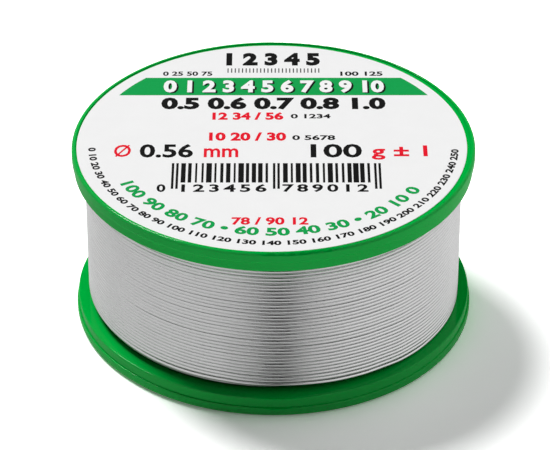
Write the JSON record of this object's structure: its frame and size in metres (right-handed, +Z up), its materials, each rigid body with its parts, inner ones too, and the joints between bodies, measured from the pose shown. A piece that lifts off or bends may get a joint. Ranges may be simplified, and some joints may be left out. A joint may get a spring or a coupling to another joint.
{
  "type": "solder wire spool",
  "caption": "Round two-flanged plastic spool wound with flux-cored solder wire, with a full paper label on top and a blind spindle bore from below.",
  "frame": {"origin": "centre of the lower flange's foot, on the surface that the spool stands on", "axes": "+Z up along the spool's axis; -Y towards the reader of the label, which is the picture's front"},
  "size_m": [0.06, 0.06, 0.0286],
  "materials": {
    "green_plastic": "moulded polystyrene, smooth and glossy",
    "label_paper": "coated white label paper, printed",
    "solder": "drawn tin alloy wire, satin",
    "flux": "rosin"
  },
  "bodies": {
    "root": {"lower_flange": "green_plastic", "upper_flange": "green_plastic", "hub": "green_plastic", "top_label": "label_paper", "solder_inner_layers": "solder", "solder_outer_layer": "solder", "solder_start_tail": "solder", "flux_core": "flux"}
  },
  "joints": []
}
